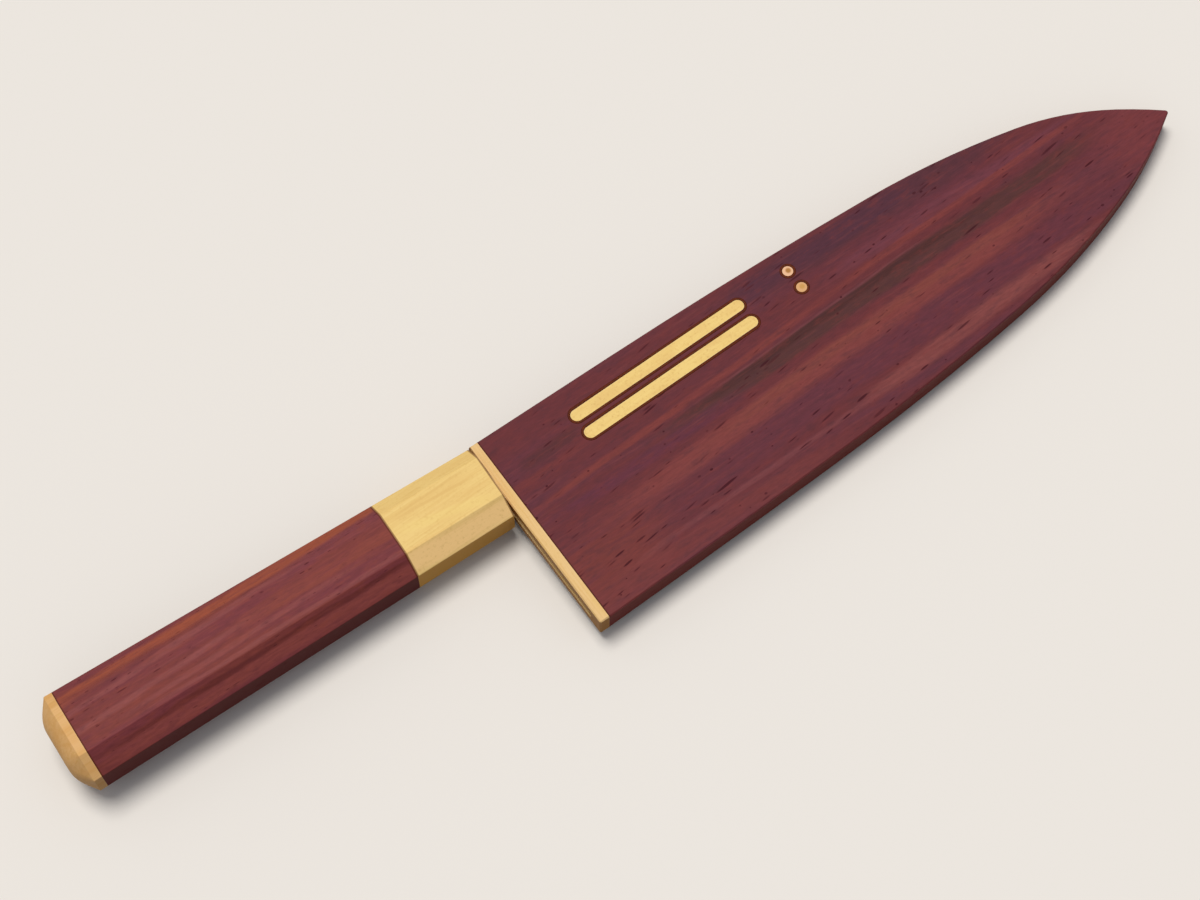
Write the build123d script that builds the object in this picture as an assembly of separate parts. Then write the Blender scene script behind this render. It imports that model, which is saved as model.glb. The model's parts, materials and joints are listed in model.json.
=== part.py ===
from build123d import *
import os

# A wooden guard for a kitchen knife, with the knife that it was made for lying in it.
# All lengths are in millimetres. While the pieces are drawn, X runs along the guard from its
# mouth to its tip, +Y is the side of the knife's spine, -Y the side of its cutting edge, and +Z
# comes out of the face with the inlays. The handle's axis crosses the origin at its front end.

# Blade
blade_length = 212.0            # heel to tip
blade_height = 53.5             # at the heel
blade_tip_drop = 24.8           # tip, below the spine
blade_tip_radius = 0.4
heel_x = 5.5                    # blade's heel, from the handle's front
spine_thickness = 2.2
edge_thickness = 0.4            # where the last bevel would be stoned on
tip_thickness = 0.9

# Shares of a leaf outline: how far along its length, and how far towards the tip's level
spine_curve_shares = [(0.2, 0.0), (0.6, 0.075), (0.82, 0.3), (0.945, 0.695)]
belly_curve_shares = [(0.345, 0.068), (0.67, 0.245), (0.875, 0.576)]
belly_heel_angle = 1.2          # degrees that the belly rises by at the heel

# Tang
tang_length = 88.0
tang_root_height = 10.0
spine_step = 2.6                # tang's root to the blade's spine
tang_end_height = 6.5
neck_radius = 1.6
tang_clearance = 0.3

# Guard body: two boards and a spacer between them, which leaves a slot for the blade
board_thickness = 2.85
blade_side_clearance = 0.35
blade_edge_clearance = 0.6
spine_wall = 4.7                # blade's spine to the guard's spine side
belly_wall = 5.2                # blade's heel to the guard's belly side
tip_wall = 13.1                 # blade's tip to the guard's, along the guard
tip_wall_drop = 1.6             # and across it
guard_tip_radius = 0.8
edge_break = 0.35               # sanded corners

# Mouth strip
strip_depth = 3.0               # along the guard
strip_gap = 0.7                 # handle's front to the strip, on the axis

# Inlays
bar_length = 61.0
bar_width = 3.8
bar_pitch = 6.4
bar_tilt = 1.3                  # degrees, towards the spine as they near the tip
bar_middle_x = 59.8
bar_pair_y = 0.12               # middle of the pair, from the handle's axis
inlay_depth = 1.5
pin_diameter = 3.4
pin_distance = 46.9             # pin's middle, from the middle of its bar
pin_depth = 1.8
glue_line = 0.05                # round each inlay

# Handle
handle_angle = 2.0              # degrees between its axis and the guard's spine
handle_length = 130.7           # ferrule's front to the butt cap
ferrule_length = 31.5
front_width = 23.8              # across the blade's height
front_thickness = 18.4
butt_width = 27.9
butt_thickness = 19.4
chamfer_width_share = 0.228
chamfer_thickness_share = 0.27
handle_edge_radius = 0.45
cap_rim = 2.3                   # butt cap's straight sides
cap_crown = 4.2                 # height of its dome

# Shares of the dome: how far in its slope reaches, of half the handle's thickness, and for each
# outline how far in it lies, of that reach, and how round its corners are, of the roundest
crown_reach_share = 0.8
crown_shares = [(0.15, 0.5), (0.35, 0.75), (0.6, 0.85), (0.8, 0.9), (1.0, 0.9)]

# Dowel that joins ferrule and grip and holds the tang
dowel_diameter = 12.0
dowel_front = 8.0               # from the handle's front
dowel_past_tang = 11.7          # uncut wood behind the tang
dowel_clearance = 0.1

overrun = 1.0                   # how far a cutting shape passes the face that it opens

joint_x = strip_gap + strip_depth
blade_spine_y = tang_root_height / 2 + spine_step
slot_thickness = spine_thickness + 2 * blade_side_clearance
guard_thickness = slot_thickness + 2 * board_thickness
guard_height = spine_wall + blade_height + belly_wall
guard_length = heel_x + blade_length + tip_wall - joint_x
guard_tip_drop = spine_wall + blade_tip_drop + tip_wall_drop
guard_spine_y = blade_spine_y + spine_wall
dowel_end = tang_length + tang_clearance + dowel_past_tang
handle_turn = Rot(0, 0, -handle_angle)


def arc_chain(direction, points):
    # Arcs through the points, each one tangent to the arc before it.
    arcs = []
    for start, end in zip(points, points[1:]):
        arc = TangentArc(start, end, tangent=direction)
        direction = arc % 1
        arcs.append(arc)
    return arcs


def leaf_face(length, height, tip_drop, tip_radius):
    # The outline that guard and blade share. Its spine starts at the origin and runs along X.
    tip = (length, -tip_drop)
    heel = (0, -height)
    spine_points = [(length * along, -tip_drop * down) for along, down in spine_curve_shares]
    belly_rise = height - tip_drop
    belly_points = [(length * along, belly_rise * up - height) for along, up in belly_curve_shares]
    belly_start = Vector(1, 0).rotate(Axis.Z, belly_heel_angle)
    outline = [
        Line(heel, (0, 0)),
        Line((0, 0), spine_points[0]),
        *arc_chain((1, 0), [*spine_points, tip]),
        *arc_chain(belly_start, [heel, *belly_points, tip]),
    ]
    leaf = make_face(outline)
    return fillet(leaf.vertices().sort_by(Axis.X)[-1], tip_radius)


def blade_leaf():
    leaf = leaf_face(blade_length, blade_height, blade_tip_drop, blade_tip_radius)
    return Pos(heel_x, blade_spine_y) * leaf


def guard_leaf():
    leaf = leaf_face(guard_length, guard_height, guard_tip_drop, guard_tip_radius)
    return Pos(joint_x, guard_spine_y) * leaf


def blade_room(start_x, end_x, half_depth):
    # The blade's outline with its clearance, and the way in to it from start_x.
    room = offset(blade_leaf(), blade_edge_clearance)
    slot_height = blade_height + 2 * blade_edge_clearance
    slot_middle_y = blade_spine_y - blade_height / 2
    way_in = Rectangle(end_x - start_x, slot_height, align=(Align.MIN, Align.CENTER))
    room += Pos(start_x, slot_middle_y) * way_in
    return extrude(room, half_depth, both=True)


def inlay_places():
    # Middle and turn of each bar, spine side first, and the middle of the pin in line with it.
    places = []
    for side in (1, -1):
        bar = Pos(bar_middle_x, bar_pair_y) * Rot(0, 0, bar_tilt) * Pos(0, side * bar_pitch / 2)
        places.append((bar, bar * Pos(pin_distance, 0)))
    return places


def bar_inlay(place, clearance):
    slot = SlotOverall(bar_length + 2 * clearance, bar_width + 2 * clearance)
    return place * Pos(0, 0, guard_thickness / 2) * extrude(slot, -inlay_depth)


def pin_inlay(place, clearance):
    top = place * Pos(0, 0, guard_thickness / 2)
    return top * extrude(Circle(pin_diameter / 2 + clearance), -pin_depth)


def guard_board(side):
    # side is 1 for the board with the inlays and -1 for the plain one.
    inner_face = Pos(0, 0, side * slot_thickness / 2) * guard_leaf()
    board = extrude(inner_face, side * board_thickness)
    broad_face = board.faces().sort_by(Axis.Z)[-1 if side > 0 else 0]
    rim = broad_face.outer_wire().edges().sort_by(Axis.X)[1:]
    board = chamfer(rim, edge_break)
    if side > 0:
        for bar, pin in inlay_places():
            board -= bar_inlay(bar, glue_line)
            board -= pin_inlay(pin, glue_line)
    return board


def guard_spacer():
    spacer = extrude(guard_leaf(), slot_thickness / 2, both=True)
    return spacer - blade_room(joint_x - overrun, heel_x + overrun, slot_thickness)


def mouth_strip():
    strip = Pos(strip_gap, guard_spine_y) * Box(
        strip_depth, guard_height, guard_thickness, align=(Align.MIN, Align.MAX, Align.CENTER)
    )
    strip = chamfer(strip.edges().sort_by(Axis.X)[:-4], edge_break)
    return strip - blade_room(strip_gap - overrun, joint_x + overrun, slot_thickness / 2)


def blade():
    root = heel_x + neck_radius + overrun
    tang = Polyline(
        (root, tang_root_height / 2),
        (0, tang_root_height / 2),
        (-tang_length, tang_end_height / 2),
        (-tang_length, -tang_end_height / 2),
        (0, -tang_root_height / 2),
        (root, -tang_root_height / 2),
        close=True,
    )
    profile = blade_leaf() + handle_turn * make_face(tang)
    corners = profile.vertices().filter_by_position(
        Axis.X, heel_x - overrun / 2, heel_x + overrun / 2
    )
    neck_corners = corners.sort_by(Axis.Y)[1:-1]
    profile = fillet(neck_corners, neck_radius)
    steel = extrude(profile, spine_thickness / 2, both=True)
    # Each side is ground flat, through the spine at the heel, the edge at the heel and the tip.
    for side in (1, -1):
        spine = Vector(heel_x, blade_spine_y, side * spine_thickness / 2)
        edge = Vector(heel_x, blade_spine_y - blade_height, side * edge_thickness / 2)
        tip = Vector(
            heel_x + blade_length, blade_spine_y - blade_tip_drop, side * tip_thickness / 2
        )
        outward = side * (tip - edge).cross(spine - edge)
        ground = Plane(origin=spine, x_dir=tip - spine, z_dir=outward)
        waste = ground * Box(
            3 * blade_length,
            3 * blade_length,
            spine_thickness,
            align=(Align.CENTER, Align.CENTER, Align.MIN),
        )
        past_heel = Box(
            2 * blade_length,
            2 * blade_length,
            2 * spine_thickness,
            align=(Align.MIN, Align.CENTER, Align.CENTER),
        )
        steel -= waste & Pos(heel_x, 0) * past_heel
    return steel


def handle_half_sizes(station):
    # At a distance behind the handle's front: half its width and thickness, and half the width
    # of its top face and the height of its side face.
    along = station / handle_length
    width = front_width + (butt_width - front_width) * along
    thickness = front_thickness + (butt_thickness - front_thickness) * along
    top = width / 2 - chamfer_width_share * width
    side = thickness / 2 - chamfer_thickness_share * thickness
    return width / 2, thickness / 2, top, side


def eight_sides(station, half_width, half_thickness, top, side, rounding):
    corners = [
        (top, half_thickness), (-top, half_thickness), (-half_width, side), (-half_width, -side),
        (-top, -half_thickness), (top, -half_thickness), (half_width, -side), (half_width, side),
    ]
    octagon = make_face(Polyline(*corners, close=True))
    octagon = fillet(octagon.vertices(), rounding)
    return Plane(origin=(-station, 0, 0), x_dir=(0, 1, 0), z_dir=(1, 0, 0)) * octagon


def handle_section(station):
    return eight_sides(station, *handle_half_sizes(station), handle_edge_radius)


def handle_stretch(start, end):
    return loft([handle_section(start), handle_section(end)], ruled=True)


def bore(start, end):
    radius = dowel_diameter / 2 + dowel_clearance
    drill = Cylinder(radius, end - start, align=(Align.CENTER, Align.CENTER, Align.MIN))
    return Pos(-end, 0, 0) * Rot(0, 90, 0) * drill


def ferrule():
    piece = handle_stretch(0, ferrule_length)
    piece -= bore(dowel_front, ferrule_length + overrun)
    tang_slot = Box(
        dowel_front + 2 * overrun,
        tang_root_height + 2 * tang_clearance,
        spine_thickness + 2 * tang_clearance,
        align=(Align.MAX, Align.CENTER, Align.CENTER),
    )
    return handle_turn * (piece - Pos(overrun, 0, 0) * tang_slot)


def grip():
    piece = handle_stretch(ferrule_length, handle_length)
    piece -= bore(ferrule_length - overrun, dowel_end + dowel_clearance)
    return handle_turn * piece


def core_dowel():
    dowel_length = dowel_end - dowel_front
    rod = Cylinder(dowel_diameter / 2, dowel_length, align=(Align.CENTER, Align.CENTER, Align.MIN))
    dowel = Pos(-dowel_end, 0, 0) * Rot(0, 90, 0) * rod
    saw_cut = Box(
        tang_length + tang_clearance + overrun,
        dowel_diameter + 2 * overrun,
        spine_thickness + 2 * tang_clearance,
        align=(Align.MAX, Align.CENTER, Align.CENTER),
    )
    return handle_turn * (dowel - Pos(overrun, 0, 0) * saw_cut)


def crown_section(inward, roundness):
    # The cap's outline drawn in on all sides alike, with its corners rounded, at its height.
    rim_station = handle_length + cap_rim
    half_width, half_thickness, top, side = handle_half_sizes(rim_station)
    slant = Vector(half_width - top, half_thickness - side)
    # How much a side of the outline loses at a corner for each unit that it is drawn in
    top_loss = slant.Y / (slant.length + slant.X)
    side_loss = slant.X / (slant.length + slant.Y)
    inset = half_thickness * crown_reach_share * inward
    top -= inset * top_loss
    side -= inset * side_loss
    slant_length = slant.length - inset * (top_loss + side_loss)
    roundest = min(top / top_loss, side / side_loss, slant_length / (top_loss + side_loss))
    height = cap_crown * (1 - (1 - inward) ** 2)
    return eight_sides(
        rim_station + height,
        half_width - inset,
        half_thickness - inset,
        top,
        side,
        roundest * roundness,
    )


def butt_cap():
    rim_station = handle_length + cap_rim
    crown = loft([handle_section(rim_station), *(crown_section(*shares) for shares in crown_shares)])
    return handle_turn * (handle_stretch(handle_length, rim_station) + crown)


def lying_flat():
    # On a table the set rests on the belly side's corner of the ferrule's front, and on the last
    # stretch of the guard's belly, from the last point of its curve to the tip.
    half_width, half_thickness, top, side = handle_half_sizes(0)
    ferrule_point = (handle_turn * Pos(0, -top, -half_thickness)).position
    guard_start = Vector(joint_x, guard_spine_y, -guard_thickness / 2)
    along, up = belly_curve_shares[-1]
    belly_rise = (guard_height - guard_tip_drop) * up
    belly_point = guard_start + Vector(guard_length * along, belly_rise - guard_height)
    tip_point = guard_start + Vector(guard_length, -guard_tip_drop)
    table_normal = (belly_point - ferrule_point).cross(tip_point - ferrule_point)
    table = Plane(origin=ferrule_point, x_dir=(1, 0, 0), z_dir=table_normal)
    return table.location.inverse()


pieces = {
    "guard_front_board": guard_board(1),
    "guard_back_board": guard_board(-1),
    "guard_spacer": guard_spacer(),
    "mouth_strip": mouth_strip(),
    "blade": blade(),
    "ferrule": ferrule(),
    "handle_grip": grip(),
    "butt_cap": butt_cap(),
    "core_dowel": core_dowel(),
}
for (bar, pin), where in zip(inlay_places(), ("spine_side", "edge_side")):
    pieces["inlay_bar_" + where] = bar_inlay(bar, 0)
    pieces["inlay_pin_" + where] = pin_inlay(pin, 0)

# The part's origin is on the table, under the middle of the whole set.
lying = lying_flat()
whole = Compound(children=[lying * piece for piece in pieces.values()]).bounding_box()
origin = Pos(-whole.center().X, -whole.center().Y, -whole.min.Z)

os.makedirs("parts", exist_ok=True)
for name, piece in pieces.items():
    export_step(origin * lying * piece, "parts/" + name + ".step")
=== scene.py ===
# Wooden blade guard on its kitchen knife: camera, studio, finishes of the woods and the steel.
import json
import math

import bpy
from mathutils import Matrix, Vector


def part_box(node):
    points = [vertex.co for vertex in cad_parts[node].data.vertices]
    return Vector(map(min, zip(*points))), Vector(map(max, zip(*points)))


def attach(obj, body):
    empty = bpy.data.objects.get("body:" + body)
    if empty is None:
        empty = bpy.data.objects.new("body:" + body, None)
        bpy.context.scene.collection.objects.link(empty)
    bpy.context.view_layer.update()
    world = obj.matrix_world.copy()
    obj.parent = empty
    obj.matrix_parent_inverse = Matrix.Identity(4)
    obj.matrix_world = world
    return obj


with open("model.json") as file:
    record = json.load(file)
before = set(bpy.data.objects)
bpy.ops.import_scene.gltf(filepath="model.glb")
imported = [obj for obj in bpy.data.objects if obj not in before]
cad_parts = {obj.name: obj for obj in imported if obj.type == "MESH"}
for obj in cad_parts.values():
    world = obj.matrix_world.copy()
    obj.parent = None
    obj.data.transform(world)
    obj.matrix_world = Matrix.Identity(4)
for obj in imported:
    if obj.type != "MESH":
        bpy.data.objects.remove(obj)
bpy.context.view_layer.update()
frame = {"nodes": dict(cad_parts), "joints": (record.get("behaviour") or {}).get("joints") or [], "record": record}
nodes = frame["nodes"]
record = frame["record"]
mm = 0.001
endDepth = 1.5 * mm  # the corners of a piece's end lie this close to its outermost one


def reachAlong(name, way):
    # where a piece starts and ends along a direction
    levels = [v.co.dot(way) for v in nodes[name].data.vertices]
    return min(levels), max(levels)


def boxMiddle(name):
    low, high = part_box(name)
    return (low + high) / 2


def endMiddle(name, way):
    # middle of a piece's flat end
    corners = [v.co for v in nodes[name].data.vertices]
    level = max(c.dot(way) for c in corners)
    end = [c for c in corners if level - c.dot(way) < endDepth]
    return Vector([(min(c[i] for c in end) + max(c[i] for c in end)) / 2 for i in range(3)])


def turnedPlace(origin, along, up):
    # axes of a piece of wood: its length, its width, and up out of its upper face
    along = along.normalized()
    across = up.cross(along).normalized()
    place = Matrix((along, across, up.normalized())).transposed().to_4x4()
    place.translation = origin
    return place


# Both places start where the handle's axis meets its front face, at the mouth of the guard.
guardAlong = -Vector(frame["joints"][0]["axis"]).normalized()
guardUp = -Vector(record["mounts"][0]["axis"]).normalized()
guardAcross = guardUp.cross(guardAlong)
handleFront = endMiddle("ferrule", guardAlong)
handleAlong = (handleFront - endMiddle("handle_grip", -guardAlong)).normalized()
guardPlace = turnedPlace(handleFront, guardAlong, guardUp)
handlePlace = turnedPlace(handleFront, handleAlong, guardUp)


def linearColour(code):
    # a hex colour as painted, turned to the linear light that the shader wants
    parts = [int(code[i : i + 2], 16) / 255 for i in (1, 3, 5)]
    return [p / 12.92 if p <= 0.04045 else ((p + 0.055) / 1.055) ** 2.4 for p in parts] + [1.0]


def findSocket(sockets, name):
    if isinstance(name, int):
        return sockets[name]
    return next(s for s in sockets if s.name == name and s.enabled)


def addNode(tree, kind, settings=None, links=None):
    node = tree.nodes.new(kind)
    for name, value in (settings or {}).items():
        if hasattr(node, str(name)) and not isinstance(name, int):
            setattr(node, name, value)
        else:
            findSocket(node.inputs, name).default_value = value
    for name, source in (links or {}).items():
        if isinstance(source, bpy.types.Node):
            source = next(s for s in source.outputs if s.enabled)
        tree.links.new(source, findSocket(node.inputs, name))
    return node


# The photo's camera, in the guard's own axes: mm from the handle's front, and degrees.
camera = {
    "lens": 75.06,  # mm, a long lens
    "sensor": 36.0,
    "place": (-128.845, -234.587, 644.236),
    "elevation": 66.707,
    "azimuth": -35.271,
    "roll": -0.371,
}
elevation, azimuth, roll = (math.radians(camera[k]) for k in ("elevation", "azimuth", "roll"))
lookWay = Vector(
    (
        -math.sin(azimuth) * math.cos(elevation),
        math.cos(azimuth) * math.cos(elevation),
        -math.sin(elevation),
    )
)
levelRight = Vector((math.cos(azimuth), math.sin(azimuth), 0))
levelUp = levelRight.cross(lookWay)
rightWay = levelRight * math.cos(roll) + levelUp * math.sin(roll)
upWay = levelUp * math.cos(roll) - levelRight * math.sin(roll)
cameraPlace = Matrix((rightWay, upWay, -lookWay)).transposed().to_4x4()
cameraPlace.translation = Vector(camera["place"]) * mm
cameraData = bpy.data.cameras.new("photoCamera")
cameraData.lens = camera["lens"]
cameraData.sensor_width = camera["sensor"]
cameraObject = bpy.data.objects.new("photoCamera", cameraData)
bpy.context.scene.collection.objects.link(cameraObject)
cameraObject.matrix_world = guardPlace @ cameraPlace
bpy.context.scene.camera = cameraObject
print("camera set")

studio = {
    "floorSeen": "#E9E5DE",  # what the lens sees of it
    "floorBounce": "#71665A",  # what the floor throws back on the object, deeper than it looks
    "floorReach": 4.0,  # m
    "skySeen": "#E9E5DE",
    "skyLight": "#F4F6FF",  # what falls on the object
    "skyStrength": 0.36,
    "keyAngle": 28.0,  # degrees across, as a soft box of 0.9 m seen from 1.8 m
    "keyFrom": (0.0, 0.42, 1.75),  # only its direction counts
    "keyStrength": 2.27,
    "keyColour": "#FFFBF6",
}
bpy.context.scene.view_settings.view_transform = "Standard"


def seenOnly(tree):
    # 1 for what the lens, a gloss or a glass sees, 0 for light that falls on the object
    path = addNode(tree, "ShaderNodeLightPath")
    either = addNode(
        tree,
        "ShaderNodeMath",
        {"operation": "MAXIMUM"},
        {0: path.outputs["Is Camera Ray"], 1: path.outputs["Is Glossy Ray"]},
    )
    return addNode(
        tree,
        "ShaderNodeMath",
        {"operation": "MAXIMUM"},
        {0: either, 1: path.outputs["Is Transmission Ray"]},
    )


world = bpy.data.worlds.new("studioSky")
bpy.context.scene.world = world
world.use_nodes = True
world.node_tree.nodes.clear()
skyColour = addNode(
    world.node_tree,
    "ShaderNodeMix",
    {
        "data_type": "RGBA",
        "A": linearColour(studio["skyLight"]),
        "B": linearColour(studio["skySeen"]),
    },
    {"Factor": seenOnly(world.node_tree)},
)
skyLevel = addNode(
    world.node_tree,
    "ShaderNodeMapRange",
    {"To Min": studio["skyStrength"], "To Max": 1.0},
    {"Value": seenOnly(world.node_tree)},
)
sky = addNode(
    world.node_tree, "ShaderNodeBackground", links={"Color": skyColour, "Strength": skyLevel}
)
addNode(world.node_tree, "ShaderNodeOutputWorld", links={"Surface": sky})

floorMesh = bpy.data.meshes.new("floor")
floorEdge = studio["floorReach"]
floorMesh.from_pydata(
    [
        (-floorEdge, -floorEdge, 0),
        (floorEdge, -floorEdge, 0),
        (floorEdge, floorEdge, 0),
        (-floorEdge, floorEdge, 0),
    ],
    [],
    [(0, 1, 2, 3)],
)
floor = bpy.data.objects.new("floor", floorMesh)
bpy.context.scene.collection.objects.link(floor)
floorMaterial = bpy.data.materials.new("palePaperFloor")
floorMaterial.use_nodes = True
floorTree = floorMaterial.node_tree
floorTree.nodes.clear()
floorColour = addNode(
    floorTree,
    "ShaderNodeMix",
    {
        "data_type": "RGBA",
        "A": linearColour(studio["floorBounce"]),
        "B": linearColour(studio["floorSeen"]),
    },
    {"Factor": seenOnly(floorTree)},
)
floorShader = addNode(floorTree, "ShaderNodeBsdfDiffuse", links={"Color": floorColour})
addNode(floorTree, "ShaderNodeOutputMaterial", links={"Surface": floorShader})
floorMesh.materials.append(floorMaterial)

# so far away that the whole floor gets the same light, in every view
keyData = bpy.data.lights.new("softKey", "SUN")
keyData.angle = math.radians(studio["keyAngle"])
keyData.energy = studio["keyStrength"]
keyData.color = linearColour(studio["keyColour"])[:3]
keyLight = bpy.data.objects.new("softKey", keyData)
keyLight.rotation_euler = (-Vector(studio["keyFrom"])).to_track_quat("-Z", "Y").to_euler()
bpy.context.scene.collection.objects.link(keyLight)
print("studio lit")


def startMaterial(name, place):
    # an empty material, its shader, and its Object coordinates in millimetres from that place
    material = bpy.data.materials.new(name)
    material.use_nodes = True
    tree = material.node_tree
    tree.nodes.clear()
    shader = addNode(tree, "ShaderNodeBsdfPrincipled")
    addNode(tree, "ShaderNodeOutputMaterial", links={"Surface": shader})
    coordinates = addNode(tree, "ShaderNodeTexCoord")
    point = addNode(
        tree,
        "ShaderNodeMapping",
        {
            "vector_type": "TEXTURE",
            "Location": place.to_translation(),
            "Rotation": place.to_euler(),
            "Scale": (mm, mm, mm),
        },
        {"Vector": coordinates.outputs["Object"]},
    )
    return material, tree, shader, point


def finishWith(material, *names):
    for name in names:
        slots = nodes[name].material_slots
        if not slots:
            nodes[name].data.materials.append(material)
        for slot in slots:
            slot.material = material


def layTone(tree, base, tone, pattern, span, strength=1.0):
    # lays a tone over the colour so far, none of it where the pattern has the span's first
    # value and all of it where it has the last
    amount = addNode(
        tree,
        "ShaderNodeMapRange",
        {
            "interpolation_type": "SMOOTHSTEP",
            "From Min": span[0],
            "From Max": span[1],
            "To Max": strength,
        },
        {"Value": pattern},
    )
    settings = {"data_type": "RGBA", "B": linearColour(tone)}
    links = {"Factor": amount}
    if isinstance(base, str):
        settings["A"] = linearColour(base)
    else:
        links["A"] = base
    return addNode(tree, "ShaderNodeMix", settings, links).outputs[2]


# how many halvings of its own size a pattern holds as detail, and what strength each keeps
fibreDetail = {"plain": 2.0, "fine": 3.0, "finest": 4.0, "falloff": 0.6}


def makeFibres(tree, point, length, width, detail=fibreDetail["plain"], turn=0.0):
    # a cloudy pattern whose patches come out that long and wide, in mm
    squeezed = addNode(
        tree,
        "ShaderNodeMapping",
        {
            "vector_type": "TEXTURE",
            "Rotation": (0.0, 0.0, math.radians(turn)),
            "Scale": (length, width, width),
        },
        {"Vector": point},
    )
    return addNode(
        tree,
        "ShaderNodeTexNoise",
        {"Scale": 1.0, "Detail": detail, "Roughness": fibreDetail["falloff"]},
        {"Vector": squeezed},
    )


def makeDrift(tree, point, length, width, height):
    # the fibres wander by a fraction of a millimetre, so no band has a ruled edge
    drift = makeFibres(tree, point, length, width)
    centred = addNode(
        tree,
        "ShaderNodeVectorMath",
        {"operation": "SUBTRACT", 1: (0.5, 0.5, 0.5)},
        {0: drift.outputs["Color"]},
    )
    shift = addNode(
        tree,
        "ShaderNodeVectorMath",
        {"operation": "MULTIPLY", 1: (0.0, height, height)},
        {0: centred},
    )
    return addNode(
        tree, "ShaderNodeVectorMath", {"operation": "ADD"}, {0: point, 1: shift}
    ).outputs[0]


# shares of a streak's half width where it starts and where it is full, and of its length
# that fades at each end
streakShape = {"outer": 1.5, "inner": 0.35, "fade": 0.3}


def layStreak(tree, point, base, streak, ragged):
    # one long band of another tone, soft at its sides and fading at both ends
    tone, startY, slope, halfWidth, startX, endX, strength = streak
    fade = streakShape["fade"] * (endX - startX)
    across = addNode(
        tree,
        "ShaderNodeVectorMath",
        {"operation": "DOT_PRODUCT", 1: (-slope, 1.0, 0.0)},
        {0: point},
    )
    offset = addNode(
        tree,
        "ShaderNodeMath",
        {"operation": "SUBTRACT", 1: startY},
        {0: across.outputs["Value"]},
    )
    apart = addNode(tree, "ShaderNodeMath", {"operation": "ABSOLUTE"}, {0: offset})
    inside = addNode(
        tree,
        "ShaderNodeMapRange",
        {
            "interpolation_type": "SMOOTHSTEP",
            "From Min": halfWidth * streakShape["outer"],
            "From Max": halfWidth * streakShape["inner"],
        },
        {"Value": apart},
    )
    along = addNode(tree, "ShaderNodeSeparateXYZ", links={"Vector": point}).outputs["X"]
    shape = inside
    for end, inwards in ((startX, fade), (endX, -fade)):
        entry = addNode(
            tree,
            "ShaderNodeMapRange",
            {"interpolation_type": "SMOOTHSTEP", "From Min": end, "From Max": end + inwards},
            {"Value": along},
        )
        shape = addNode(tree, "ShaderNodeMath", {"operation": "MULTIPLY"}, {0: shape, 1: entry})
    uneven = addNode(tree, "ShaderNodeMath", {"operation": "MULTIPLY"}, {0: shape, 1: ragged})
    return layTone(tree, base, tone, uneven, (0.0, 1.0), strength)


def nearEnds(tree, point, ends):
    # how many mm away the nearest of the listed ends of a piece is: glued joints, and the ferrule's free front
    # end, whose dark line is painted shadow
    along = addNode(tree, "ShaderNodeSeparateXYZ", links={"Vector": point}).outputs["X"]
    nearest = None
    for end in ends:
        apart = addNode(tree, "ShaderNodeMath", {"operation": "SUBTRACT", 1: end}, {0: along})
        away = addNode(tree, "ShaderNodeMath", {"operation": "ABSOLUTE"}, {0: apart})
        if nearest is None:
            nearest = away
        else:
            nearest = addNode(
                tree, "ShaderNodeMath", {"operation": "MINIMUM"}, {0: nearest, 1: away}
            )
    return nearest


edgeWearAndShade = {
    "samples": 4,
    "span": (0.99, 0.8),  # cosine of the turn from the flat normal to the rounded one
    "seamAndShadowSpan": (1.0, 0.3),  # shares of the seam's width
    "sideShadeSpan": (0.45, 0.15),  # how level a surface is where it starts to count as a side, for the painted shade on the sides
}


def rubEdges(tree, base, look):
    # hands and cloths rub a paler line along the edges
    rounded = addNode(
        tree, "ShaderNodeBevel", {"samples": edgeWearAndShade["samples"], "Radius": look["rubWidth"] * mm}
    )
    flat = addNode(tree, "ShaderNodeNewGeometry")
    turned = addNode(
        tree,
        "ShaderNodeVectorMath",
        {"operation": "DOT_PRODUCT"},
        {0: rounded, 1: flat.outputs["Normal"]},
    )
    return layTone(
        tree, base, look["rubbed"], turned.outputs["Value"], edgeWearAndShade["span"], look["rubStrength"]
    )


def lyingFlat(tree, up):
    # 1 where the surface looks up or down, 0 on the sides
    surface = addNode(tree, "ShaderNodeNewGeometry")
    level = addNode(
        tree,
        "ShaderNodeVectorMath",
        {"operation": "DOT_PRODUCT", 1: up},
        {0: surface.outputs["Normal"]},
    )
    return addNode(tree, "ShaderNodeMath", {"operation": "ABSOLUTE"}, {0: level.outputs["Value"]})


poreShape = {
    # from where the rows' pattern is emptiest to where it is full of pores
    "density": {"From Min": 0.38, "From Max": 0.6, "To Min": 0.45, "To Max": 1.0},
    "cell": 2.0,  # a cell is that much longer and wider than the pore in it
    "largest": {"To Max": 0.42},  # share of a cell
    "shallowest": {"To Min": 0.45},  # share of the deepest one's depth
    "softness": {"From Max": 0.14},  # share of a cell, from a pore's rim to its full depth
}


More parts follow.
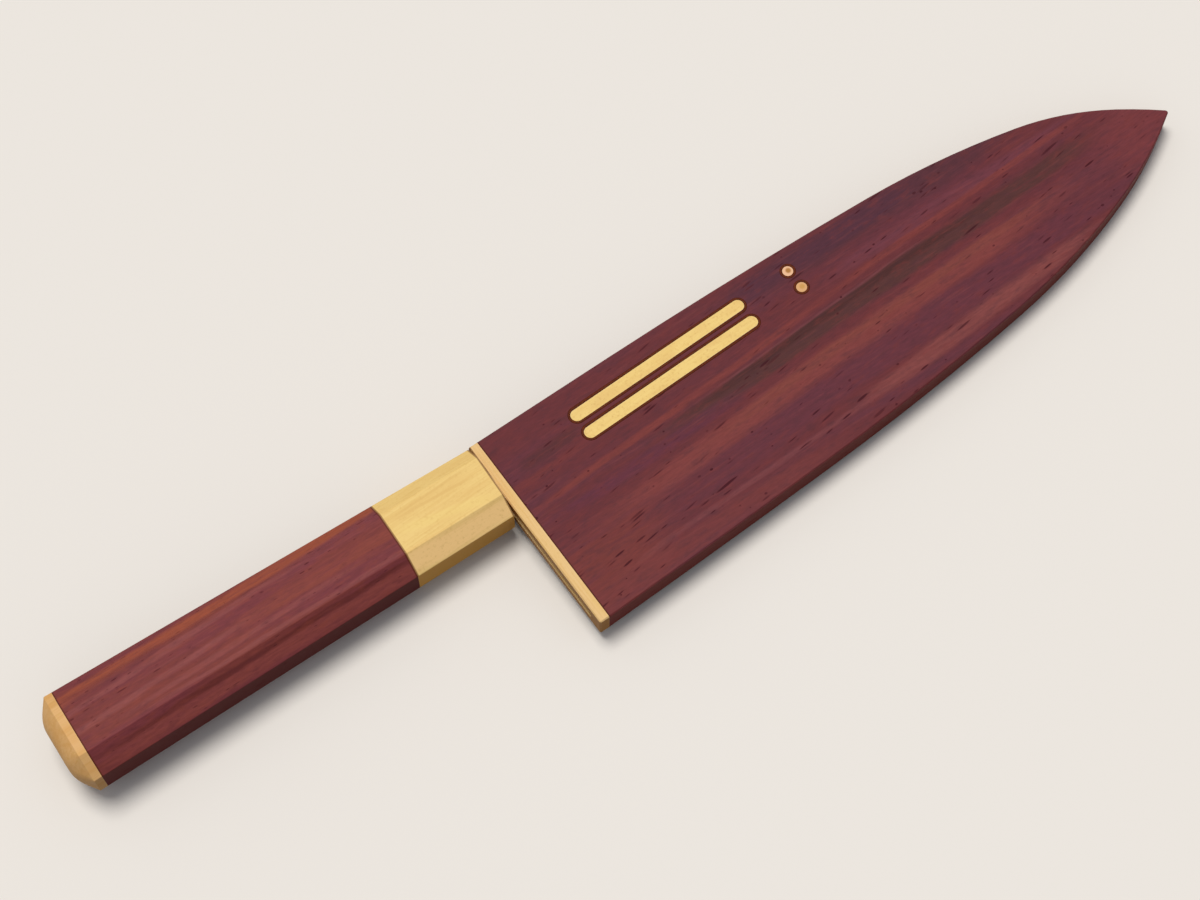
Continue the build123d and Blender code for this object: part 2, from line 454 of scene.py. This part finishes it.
def makePores(tree, fibre, look):
    # open vessels, cut along their length by the saw: dark dashes that stand in loose rows
    rows = makeFibres(tree, fibre, look["rowLength"], look["rowWidth"])
    density = addNode(tree, "ShaderNodeMapRange", poreShape["density"], {"Value": rows})
    depth = None
    for length, width, share, tilt in look["pores"]:
        cellLength, cellWidth = length * poreShape["cell"], width * poreShape["cell"]
        squeezed = addNode(
            tree,
            "ShaderNodeMapping",
            {
                "vector_type": "TEXTURE",
                "Rotation": (0.0, 0.0, math.radians(tilt)),
                "Scale": (cellLength, cellWidth, cellWidth),
            },
            {"Vector": fibre},
        )
        cells = addNode(tree, "ShaderNodeTexVoronoi", {"Scale": 1.0}, {"Vector": squeezed})
        chosen = addNode(tree, "ShaderNodeSeparateColor", links={"Color": cells.outputs["Color"]})
        size = addNode(
            tree,
            "ShaderNodeMapRange",
            {"From Min": 1 - share, **poreShape["largest"]},
            {"Value": chosen.outputs["Red"]},
        )
        thinned = addNode(tree, "ShaderNodeMath", {"operation": "MULTIPLY"}, {0: size, 1: density})
        inside = addNode(
            tree,
            "ShaderNodeMath",
            {"operation": "SUBTRACT"},
            {0: thinned, 1: cells.outputs["Distance"]},
        )
        deepest = addNode(
            tree,
            "ShaderNodeMapRange",
            poreShape["shallowest"],
            {"Value": chosen.outputs["Green"]},
        )
        hole = addNode(
            tree,
            "ShaderNodeMapRange",
            poreShape["softness"],
            {"Value": inside, "To Max": deepest},
        )
        if depth is None:
            depth = hole
        else:
            depth = addNode(tree, "ShaderNodeMath", {"operation": "MAXIMUM"}, {0: depth, 1: hole})
    return depth


def layWearAndShade(tree, point, colour, look):
    # what joints, oil and hands have done to a piece, dark seams and rubbed edges, and painted shade: the sides
    # are painted deeper, where less light falls
    if look["ends"]:
        # dark glue lines at joints; at the ferrule's free front end the same dark line is painted shadow
        seamAndShadow = nearEnds(tree, point, look["ends"])
        seamAndShadowSpan = [look["seamAndShadowWidth"] * share for share in edgeWearAndShade["seamAndShadowSpan"]]
        colour = layTone(tree, colour, look["seamAndShadow"], seamAndShadow, seamAndShadowSpan, look["seamAndShadowStrength"])
    # painted shade: faces that look sideways get the darker side tone
    flat = lyingFlat(tree, guardUp)
    colour = layTone(tree, colour, look["side"], flat, edgeWearAndShade["sideShadeSpan"], look["sideShadeStrength"])
    return rubEdges(tree, colour, look)


def makePadauk(name, place, look):
    # padauk, sawn along the grain, sanded and oiled: warm satin sheen, open pores as dark dashes
    material, tree, shader, point = startMaterial(name, place)
    fibre = makeDrift(tree, point, look["waveLength"], look["waveWidth"], look["waveHeight"])
    fine = fibreDetail["fine"]
    frayed = makeFibres(tree, fibre, look["raggedLength"], look["raggedWidth"], fine)
    ragged = addNode(tree, "ShaderNodeMapRange", look["ragged"], {"Value": frayed})
    zones = makeFibres(tree, fibre, look["zoneLength"], look["zoneWidth"])
    colour = layTone(tree, look["purple"], look["brown"], zones, look["zoneSpan"])
    for streak in look["streaks"]:
        colour = layStreak(tree, fibre, colour, streak, ragged)
    # thin bright threads between the bands
    threads = makeFibres(tree, fibre, look["threadLength"], look["threadWidth"])
    colour = layTone(
        tree, colour, look["thread"], threads, look["threadSpan"], look["threadStrength"]
    )
    # cloudy spots a few millimetres across, duller and redder in turn
    spots = makeFibres(tree, fibre, look["spotLength"], look["spotWidth"], fine)
    for tone, span in (("dullSpot", "dullSpan"), ("redSpot", "redSpan")):
        colour = layTone(tree, colour, look[tone], spots, look[span], look["spotStrength"])
    # single fibres are 0.02 mm wide; drawn nearly thirty times as coarse so that they show
    hair = makeFibres(tree, fibre, look["hairLength"], look["hairWidth"], fibreDetail["finest"])
    hairLevel = addNode(tree, "ShaderNodeMapRange", look["hairLevel"], {"Value": hair})
    colour = addNode(
        tree, "ShaderNodeVectorMath", {"operation": "SCALE"}, {0: colour, "Scale": hairLevel}
    ).outputs[0]
    pores = makePores(tree, fibre, look)
    colour = layTone(tree, colour, look["pore"], pores, (0.0, 1.0), look["poreStrength"])
    colour = layWearAndShade(tree, point, colour, look)
    tree.links.new(colour, shader.inputs["Base Color"])
    # oil stands on the dense wood and sinks into the pores
    rough = addNode(tree, "ShaderNodeMapRange", look["roughness"], {"Value": hair})
    dry = addNode(
        tree,
        "ShaderNodeMath",
        {"operation": "MULTIPLY_ADD", 1: look["poreDryness"]},
        {0: pores, 2: rough},
    )
    tree.links.new(dry.outputs[0], shader.inputs["Roughness"])
    shader.inputs["IOR"].default_value = look["ior"]
    shader.inputs["Specular IOR Level"].default_value = look["gloss"]
    height = addNode(
        tree,
        "ShaderNodeMath",
        {"operation": "MULTIPLY_ADD", 1: -look["poreToHair"]},
        {0: pores, 2: hair},
    )
    bump = addNode(
        tree,
        "ShaderNodeBump",
        {"Strength": look["bump"], "Distance": look["poreDepth"] * mm},
        {"Height": height},
    )
    tree.links.new(bump.outputs[0], shader.inputs["Normal"])
    return material


guardPadauk = {
    "purple": "#60303A",
    "brown": "#652F33",
    # tone, y at x 0, rise per mm, half width, first x, last x, strength
    "streaks": [
        ("#4E2C33", 6.5, -0.01, 4.5, 70.0, 205.0, 0.75),
        ("#4E2C3C", 6.0, 0.0, 3.4, 75.0, 165.0, 0.6),
        ("#4E2A2A", -1.5, 0.0, 2.2, 5.0, 34.0, 0.6),
        ("#6E3A46", -3.5, -0.005, 2.5, 95.0, 225.0, 0.6),
        ("#743533", -6.0, 0.0, 1.2, -5.0, 36.0, 0.6),
        ("#7C3A36", -14.6, 0.05, 1.1, -15.0, 130.0, 0.9),
        ("#7C3A36", -13.0, 0.04, 1.0, 85.0, 235.0, 0.8),
        ("#53302F", -18.4, 0.032, 3.1, 22.0, 232.0, 1.5),
        ("#472726", -16.6, 0.03, 1.3, 40.0, 185.0, 0.9),
        ("#844C50", -15.6, 0.036, 0.35, 45.0, 160.0, 0.35),
        ("#5F2E3E", -20.0, 0.02, 2.2, 0.0, 85.0, 0.7),
        ("#7B3C3A", -28.6, 0.038, 3.6, -10.0, 220.0, 1.1),
        ("#7F4338", -27.2, 0.04, 1.6, 35.0, 205.0, 0.5),
        ("#62303A", -35.5, 0.03, 4.3, 8.0, 235.0, 0.95),
        ("#743733", -40.0, 0.0, 12.0, -40.0, 45.0, 0.9),
        ("#84494A", -43.2, 0.02, 0.9, 0.0, 135.0, 0.4),
        ("#7F4341", -46.0, 0.05, 2.6, 85.0, 205.0, 1.0),
        ("#723737", -47.0, 0.0, 3.2, -20.0, 105.0, 0.8),
        ("#74373A", -19.0, 0.0, 12.0, 190.0, 290.0, 0.9),
    ],
    "waveLength": 60.0,
    "waveWidth": 16.0,
    "waveHeight": 2.4,
    "raggedLength": 24.0,
    "raggedWidth": 1.4,
    "ragged": {"From Min": 0.32, "From Max": 0.6, "To Min": 0.5, "To Max": 1.0},
    # a span is the part of a pattern's values, 0 to 1, over which it comes to show
    "zoneLength": 120.0,
    "zoneWidth": 7.0,
    "zoneSpan": (0.35, 0.65),
    "thread": "#7F4140",
    "threadLength": 22.0,
    "threadWidth": 0.9,
    "threadSpan": (0.55, 0.75),
    "threadStrength": 0.3,
    "spotLength": 5.0,
    "spotWidth": 1.7,
    "dullSpot": "#4A2A33",
    "dullSpan": (0.5, 0.75),
    "redSpot": "#743432",
    "redSpan": (0.5, 0.28),
    "spotStrength": 0.36,
    "hairLength": 3.0,
    "hairWidth": 0.55,
    "hairLevel": {"From Min": 0.3, "From Max": 0.7, "To Min": 0.88, "To Max": 1.12},
    "pore": "#3D131C",
    "poreStrength": 0.85,
    "poreDepth": 0.06,
    "poreDryness": 0.2,
    "poreToHair": 2.0,
    "bump": 0.35,
    "rowLength": 30.0,
    "rowWidth": 3.5,
    # mean length and width of a pore in mm, share of cells that hold one, tilt in degrees;
    # real ones are half as wide or less, and these are drawn coarser so that they show
    "pores": [(6.0, 0.62, 0.6, 7.0), (3.4, 0.58, 0.6, 6.0), (1.0, 0.7, 0.15, 0.0)],
    "roughness": {"To Min": 0.49, "To Max": 0.63},
    "ior": 1.5,
    "gloss": 0.08,
    # painted shade: the sides are painted this deeper tone, where less light falls on them
    "side": "#66241F",
    "sideShadeStrength": 1.0,
    # glue darkens the last fibres beside a joint
    "seamAndShadow": "#4A1C0C",
    "seamAndShadowWidth": 0.55,
    "seamAndShadowStrength": 1.0,
    "rubbed": "#84463E",
    "rubWidth": 0.5,
    "rubStrength": 0.35,
}
handlePadauk = {
    **guardPadauk,
    "purple": "#76383C",
    "brown": "#7A3B36",
    "streaks": [
        ("#9A4F38", 12.5, 0.03, 2.2, -170.0, 10.0, 0.9),
        ("#964C35", 12.0, 0.02, 1.6, -75.0, 10.0, 0.8),
        ("#6B3236", 7.0, 0.0, 1.6, -135.0, -92.0, 0.6),
        ("#7A404A", 9.0, 0.03, 2.2, -75.0, 5.0, 0.35),
        ("#8B4C4A", 9.85, 0.045, 0.9, -160.0, -40.0, 0.7),
        ("#8D4E4C", 3.9, 0.043, 0.9, -160.0, -60.0, 0.7),
        ("#8A4538", 1.4, 0.012, 2.0, -95.0, -5.0, 0.65),
        ("#8A4A47", -0.5, 0.033, 0.8, -130.0, -30.0, 0.7),
        ("#8E504D", -5.6, 0.006, 0.7, -125.0, -10.0, 0.5),
        # painted light: the grip's near chamfer is painted as a lighter red band, standing in for the light that
        # falls on it
        ("#894540", -9.9, 0.012, 2.2, -150.0, 10.0, 0.9),
        ("#602A28", -7.9, 0.0157, 0.7, -150.0, -5.0, 0.8),
        ("#70353E", -3.9, 0.0, 1.4, -75.0, -10.0, 0.6),
    ],
    "waveLength": 38.0,
    "waveWidth": 9.0,
    "waveHeight": 2.0,
    "raggedLength": 14.0,
    "raggedWidth": 1.2,
    "zoneLength": 60.0,
    "zoneWidth": 4.0,
    "thread": "#8E4B46",
    "dullSpot": "#5E2B33",
    "redSpot": "#8A4336",
    "poreStrength": 0.6,
    "pores": [(2.6, 0.36, 0.22, 2.0), (1.2, 0.25, 0.35, 1.0)],
    "seamAndShadow": "#5A2716",
    # painted shade on the handle's sides
    "side": "#551A19",
}


def fromHandleFront(levels, way):
    # levels along a direction, in mm from the handle's front
    return [(level - handleFront.dot(way)) / mm for level in levels]


guardPadauk["ends"] = fromHandleFront(reachAlong("mouth_strip", guardAlong), guardAlong)[1:]
handlePadauk["ends"] = fromHandleFront(reachAlong("handle_grip", handleAlong), handleAlong)
finishWith(
    makePadauk("padaukSawnAndOiled", guardPlace, guardPadauk),
    "guard_front_board",
    "guard_back_board",
    "guard_spacer",
)
finishWith(makePadauk("padaukPlanedToEightSides", handlePlace, handlePadauk), "handle_grip")
print("padauk done")


def makeBoxwood(name, place, look):
    # boxwood, sanded to a dull silk: almost no pores, fine lines of growth, like old ivory
    material, tree, shader, point = startMaterial(name, place)
    fibre = makeDrift(tree, point, look["waveLength"], look["waveWidth"], look["waveHeight"])
    fine = fibreDetail["fine"]
    lines = makeFibres(tree, fibre, look["lineLength"], look["lineWidth"], fine, look["tilt"])
    colour = layTone(tree, look["line"], look["body"], lines, look["lineSpan"])
    clouds = makeFibres(tree, fibre, look["cloudLength"], look["cloudWidth"])
    colour = layTone(tree, colour, look["cloud"], clouds, look["cloudSpan"], look["cloudStrength"])
    ragged = addNode(tree, "ShaderNodeMapRange", look["ragged"], {"Value": lines})
    for streak in look["streaks"]:
        colour = layStreak(tree, fibre, colour, streak, ragged)
    # sanding dust and hand oil leave specks, drawn three times as coarse so that they show
    specks = makeFibres(tree, point, look["speck"], look["speck"], fine)
    colour = layTone(
        tree, colour, look["specked"], specks, look["speckSpan"], look["speckStrength"]
    )
    colour = layWearAndShade(tree, point, colour, look)
    tree.links.new(colour, shader.inputs["Base Color"])
    rough = addNode(tree, "ShaderNodeMapRange", look["roughness"], {"Value": lines})
    tree.links.new(rough.outputs[0], shader.inputs["Roughness"])
    shader.inputs["IOR"].default_value = look["ior"]
    shader.inputs["Specular IOR Level"].default_value = look["gloss"]
    bump = addNode(
        tree,
        "ShaderNodeBump",
        {"Strength": look["bump"], "Distance": look["lineDepth"] * mm},
        {"Height": lines},
    )
    tree.links.new(bump.outputs[0], shader.inputs["Normal"])
    return material


boxwoodLook = {
    "body": "#ECCB80",
    "line": "#E4BF73",
    "lineLength": 24.0,
    "lineWidth": 0.7,
    "lineSpan": (0.3, 0.6),
    "ragged": {"From Min": 0.3, "From Max": 0.6, "To Min": 0.6, "To Max": 1.0},
    "lineDepth": 0.04,
    "bump": 0.25,
    "tilt": 3.0,
    "waveLength": 28.0,
    "waveWidth": 9.0,
    "waveHeight": 1.6,
    "cloud": "#E3BC72",
    "cloudLength": 26.0,
    "cloudWidth": 4.0,
    "cloudSpan": (0.4, 0.7),
    "cloudStrength": 0.6,
    "speck": 0.9,
    "specked": "#D5AE66",
    "speckSpan": (0.5, 0.75),
    "speckStrength": 0.4,
    "streaks": [],
    "seamAndShadow": "#7A4B1E",
    "seamAndShadowWidth": 0.5,
    "seamAndShadowStrength": 0.9,
    "ends": (),
    "rubbed": "#F0D6A0",
    "rubWidth": 0.4,
    "rubStrength": 0.3,
    "side": "#E0A950",
    "sideShadeStrength": 0.0,
    "roughness": {"To Min": 0.5, "To Max": 0.6},
    "ior": 1.5,
    "gloss": 0.15,
}
ferruleEnds = fromHandleFront(reachAlong("ferrule", handleAlong), handleAlong)
ferruleLook = {
    **boxwoodLook,
    "streaks": [
        ("#F1D682", -6.0, -0.2, 1.6, -34.0, 2.0, 0.35),
        ("#D9B067", 2.2, -0.05, 0.5, -34.0, 0.0, 0.5),
        ("#D8AF66", 5.6, 0.04, 0.4, -34.0, 0.0, 0.5),
        # painted light: the ferrule's near chamfer is painted paler, standing in for the light that falls on it
        ("#FFD590", -9.4, 0.0, 2.6, -50.0, 20.0, 1.2),
    ],
    # the back end is the glue joint with the grip; the front end is free, and its dark rim is painted shadow where
    # the ferrule stands over the strip
    "ends": ferruleEnds,
    # painted shade: the ferrule's sides are painted darker
    "sideShadeStrength": 1.0,
}
capLook = {**boxwoodLook, "body": "#DFB074", "line": "#D6A563", "cloud": "#D6A05B"}
stripPlace = turnedPlace(boxMiddle("mouth_strip"), guardAcross, guardUp)
stripLook = {
    **boxwoodLook,
    "body": "#E7C287",
    "line": "#DEB472",
    "tilt": 0.0,
    # painted shadow: a dark line on the strip's top beside the ferrule, which stands over it
    "streaks": [("#6E451D", 1.35, 0.0, 0.4, 16.0, 46.0, 1.4)],
    # painted shade: the strip's upright faces are painted darker
    "side": "#A8722F",
    "sideShadeStrength": 0.9,
}
barLook = {
    **boxwoodLook,
    "body": "#EFCF80",
    "line": "#EAC877",
    "lineLength": 6.0,
    "cloudLength": 12.0,
    "speckStrength": 0.7,
    "rubbed": "#F2D7A0",
    "rubStrength": 0.7,
}
finishWith(makeBoxwood("boxwoodFerruleSanded", handlePlace, ferruleLook), "ferrule")
finishWith(makeBoxwood("boxwoodCapSanded", handlePlace, capLook), "butt_cap")
finishWith(makeBoxwood("boxwoodStripPlaned", stripPlace, stripLook), "mouth_strip")
finishWith(
    makeBoxwood("boxwoodInlaySanded", guardPlace, barLook),
    "inlay_bar_spine_side",
    "inlay_bar_edge_side",
)
dowelLook = {**boxwoodLook, "body": "#D9B48A", "line": "#CFA579"}
finishWith(makeBoxwood("beechDowelTurned", handlePlace, dowelLook), "core_dowel")


def makePin(name, place, look):
    # a round rod of pale wood cut across: end grain, darker at its heart, with a light rim
    material, tree, shader, point = startMaterial(name, place)
    fromHeart = addNode(
        tree,
        "ShaderNodeVectorMath",
        {"operation": "SUBTRACT", 1: look["heartPlace"]},
        {0: point},
    )
    flat = addNode(
        tree, "ShaderNodeVectorMath", {"operation": "MULTIPLY", 1: (1.0, 1.0, 0.0)}, {0: fromHeart}
    )
    radius = addNode(tree, "ShaderNodeVectorMath", {"operation": "LENGTH"}, {0: flat})
    specks = makeFibres(tree, point, look["speck"], look["speck"], fibreDetail["fine"])
    shifted = addNode(
        tree,
        "ShaderNodeMath",
        {"operation": "MULTIPLY_ADD", 1: look["waver"]},
        {0: specks, 2: radius.outputs["Value"]},
    )
    colour = layTone(
        tree, look["heart"], look["rim"], shifted, (look["heartRadius"], look["rimRadius"])
    )
    tree.links.new(colour, shader.inputs["Base Color"])
    rough = addNode(tree, "ShaderNodeMapRange", look["roughness"], {"Value": specks})
    tree.links.new(rough.outputs[0], shader.inputs["Roughness"])
    shader.inputs["Specular IOR Level"].default_value = look["gloss"]
    bump = addNode(
        tree,
        "ShaderNodeBump",
        {"Strength": look["bump"], "Distance": look["speckDepth"] * mm},
        {"Height": specks},
    )
    tree.links.new(bump.outputs[0], shader.inputs["Normal"])
    return material


darkHeart = {
    "heart": "#B07A3C",
    "rim": "#EBBB92",
    "heartPlace": (0.25, 0.1, 0.0),  # mm from the rod's middle
    "heartRadius": 0.6,
    "rimRadius": 1.3,
    "speck": 0.3,
    "speckDepth": 0.05,
    "waver": 0.3,
    "bump": 0.3,
    "roughness": {"To Min": 0.5, "To Max": 0.6},
    "gloss": 0.15,
}
paleHeart = {**darkHeart, "heart": "#CB9A55", "rim": "#D9A873"}
for nodeName, pinFinish, look in (
    ("inlay_pin_spine_side", "boxwoodRodDarkHeart", darkHeart),
    ("inlay_pin_edge_side", "boxwoodRodPaleHeart", paleHeart),
):
    pinPlace = turnedPlace(boxMiddle(nodeName), guardAlong, guardUp)
    finishWith(makePin(pinFinish, pinPlace, look), nodeName)
print("boxwood done")

steelLook = {
    "steel": "#C6C8C9",
    "smear": "#B4B6B6",  # where a cloth has left oil
    "smearLength": 30.0,
    "smearWidth": 22.0,
    "smearSpan": (0.35, 0.7),
    "smearStrength": 0.7,
    "combStrength": 0.6,  # how much of the smears' tone the scratches carry
    "slotShade": "#4E4A47",  # painted shade: the spine, heel and edge faces are painted dark, since the steel lies in the shade of the slot
    "slotShadeSpan": (0.7, 0.4),
    "roughness": {"To Min": 0.22, "To Max": 0.38},
    # mm along and across the blade, for the stone works across it; real scratches are a tenth
    # as wide and wouldn't show
    "scratchLength": 0.25,
    "scratchWidth": 18.0,
    "scratchDepth": 0.02,
    "bump": 0.1,
}


def makeSteel(name, place, look):
    # stainless steel ground on a stone across its length: grey mirror combed by fine scratches
    material, tree, shader, point = startMaterial(name, place)
    scratches = makeFibres(
        tree, point, look["scratchLength"], look["scratchWidth"], fibreDetail["finest"]
    )
    rough = addNode(tree, "ShaderNodeMapRange", look["roughness"], {"Value": scratches})
    tree.links.new(rough.outputs[0], shader.inputs["Roughness"])
    smears = makeFibres(tree, point, look["smearLength"], look["smearWidth"])
    colour = layTone(
        tree, look["steel"], look["smear"], smears, look["smearSpan"], look["smearStrength"]
    )
    colour = layTone(
        tree, colour, look["smear"], scratches, look["smearSpan"], look["combStrength"]
    )
    # painted shade on the faces that don't lie flat, the ones seen inside the slot
    flat = lyingFlat(tree, guardUp)
    colour = layTone(tree, colour, look["slotShade"], flat, look["slotShadeSpan"])
    tree.links.new(colour, shader.inputs["Base Color"])
    shader.inputs["Metallic"].default_value = 1.0
    bump = addNode(
        tree,
        "ShaderNodeBump",
        {"Strength": look["bump"], "Distance": look["scratchDepth"] * mm},
        {"Height": scratches},
    )
    tree.links.new(bump.outputs[0], shader.inputs["Normal"])
    return material


finishWith(makeSteel("stainlessSteelGround", guardPlace, steelLook), "blade")
print("steel done")

glueLook = {
    "glue": "#57240E",
    "speck": 0.6,
    # the glue is lighter where it lies thin
    "thickToThin": {"From Min": 0.3, "From Max": 0.7, "To Min": 0.7, "To Max": 1.5},
    "roughness": {"To Min": 0.5, "To Max": 0.7},
    "gloss": 0.08,
    "threadWidth": 0.8,
    "threadRise": 0.12,  # share of the width that the line is thick
    "threadOutside": 0.7,  # share of its width by which the line is larger than the inlay
    "endRound": 0.499,  # share of the line's width, just under half
    "arcSteps": 14,
    "threadSides": 6,
}


def makeGlue(look):
    # hide glue squeezed out and scraped flush: a thin brown line, a little uneven
    material, tree, shader, point = startMaterial("hideGlueScrapedFlush", guardPlace)
    specks = makeFibres(tree, point, look["speck"], look["speck"])
    tone = addNode(tree, "ShaderNodeMapRange", look["thickToThin"], {"Value": specks})
    colour = addNode(
        tree,
        "ShaderNodeVectorMath",
        {"operation": "SCALE", 0: linearColour(look["glue"])[:3]},
        {"Scale": tone},
    )
    tree.links.new(colour.outputs[0], shader.inputs["Base Color"])
    rough = addNode(tree, "ShaderNodeMapRange", look["roughness"], {"Value": specks})
    tree.links.new(rough.outputs[0], shader.inputs["Roughness"])
    shader.inputs["Specular IOR Level"].default_value = look["gloss"]
    return material


def makeRingTree(look):
    # a fine thread laid round a bar with round ends; a bar as long as it is wide gives a circle
    tree = bpy.data.node_groups.new("glueLineRound", "GeometryNodeTree")
    sockets = {}
    for name, kind in (
        ("Length", "NodeSocketFloat"),
        ("Width", "NodeSocketFloat"),
        ("Thread", "NodeSocketFloat"),
        ("Middle", "NodeSocketVector"),
        ("Turn", "NodeSocketVector"),
        ("Glue", "NodeSocketMaterial"),
    ):
        socket = tree.interface.new_socket(name, in_out="INPUT", socket_type=kind)
        sockets[name] = socket.identifier
    tree.interface.new_socket("Line", in_out="OUTPUT", socket_type="NodeSocketGeometry")
    given = tree.nodes.new("NodeGroupInput").outputs
    outline = addNode(
        tree,
        "GeometryNodeCurvePrimitiveQuadrilateral",
        links={"Width": given["Length"], "Height": given["Width"]},
    )
    # so that the two arcs of a round end don't quite meet in one point
    half = addNode(
        tree, "ShaderNodeMath", {"operation": "MULTIPLY", 1: look["endRound"]}, {0: given["Width"]}
    )
    rounded = addNode(
        tree,
        "GeometryNodeFilletCurve",
        {"mode": "POLY", "Count": look["arcSteps"]},
        {"Curve": outline, "Radius": half},
    )
    thin = addNode(tree, "ShaderNodeMath", {"operation": "MULTIPLY", 1: 0.5}, {0: given["Thread"]})
    section = addNode(
        tree,
        "GeometryNodeCurvePrimitiveCircle",
        {"Resolution": look["threadSides"]},
        {"Radius": thin},
    )
    thread = addNode(
        tree, "GeometryNodeCurveToMesh", links={"Curve": rounded, "Profile Curve": section}
    )
    pressed = addNode(
        tree,
        "GeometryNodeTransform",
        {"Scale": (1.0, 1.0, look["threadRise"])},
        {"Geometry": thread},
    )
    placed = addNode(
        tree,
        "GeometryNodeTransform",
        links={"Geometry": pressed, "Translation": given["Middle"], "Rotation": given["Turn"]},
    )
    real = addNode(tree, "GeometryNodeRealizeInstances", links={"Geometry": placed})
    painted = addNode(
        tree, "GeometryNodeSetMaterial", links={"Geometry": real, "Material": given["Glue"]}
    )
    end = tree.nodes.new("NodeGroupOutput")
    tree.links.new(painted.outputs[0], end.inputs[0])
    return tree, sockets


glue = makeGlue(glueLook)
ringTree, ringSockets = makeRingTree(glueLook)
rimDepth = 0.1 * mm  # the corners of an inlay's upper face lie this close to its highest one
for nodeName in (
    "inlay_bar_spine_side",
    "inlay_bar_edge_side",
    "inlay_pin_spine_side",
    "inlay_pin_edge_side",
):
    corners = [v.co for v in nodes[nodeName].data.vertices]
    top = max(c.dot(guardUp) for c in corners)
    rim = [c for c in corners if top - c.dot(guardUp) < rimDepth]
    first = min(rim, key=lambda c: c.dot(guardAlong))
    last = max(rim, key=lambda c: c.dot(guardAlong))
    inlayPlace = turnedPlace((first + last) / 2, last - first, guardUp)
    sideways = [(inlayPlace.inverted() @ c).y for c in rim]
    # the line's middle runs outside the inlay, so most of it lies on the darker wood
    outside = glueLook["threadWidth"] * glueLook["threadOutside"] * mm
    width = max(sideways) - min(sideways) + outside
    length = max((last - first).length + outside, width)
    line = bpy.data.objects.new(
        nodeName.replace("inlay", "glue_line"), bpy.data.meshes.new("glueLine")
    )
    bpy.context.scene.collection.objects.link(line)
    ring = line.modifiers.new("ring", "NODES")
    ring.node_group = ringTree
    ring[ringSockets["Length"]] = length
    ring[ringSockets["Width"]] = width
    ring[ringSockets["Thread"]] = glueLook["threadWidth"] * mm
    ring[ringSockets["Middle"]] = inlayPlace.to_translation()
    ring[ringSockets["Turn"]] = inlayPlace.to_euler()
    ring[ringSockets["Glue"]] = glue
    finished = line.evaluated_get(bpy.context.evaluated_depsgraph_get())
    line.data = bpy.data.meshes.new_from_object(finished)
    line.modifiers.remove(ring)
    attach(line, "guard")
print("glue lines laid")
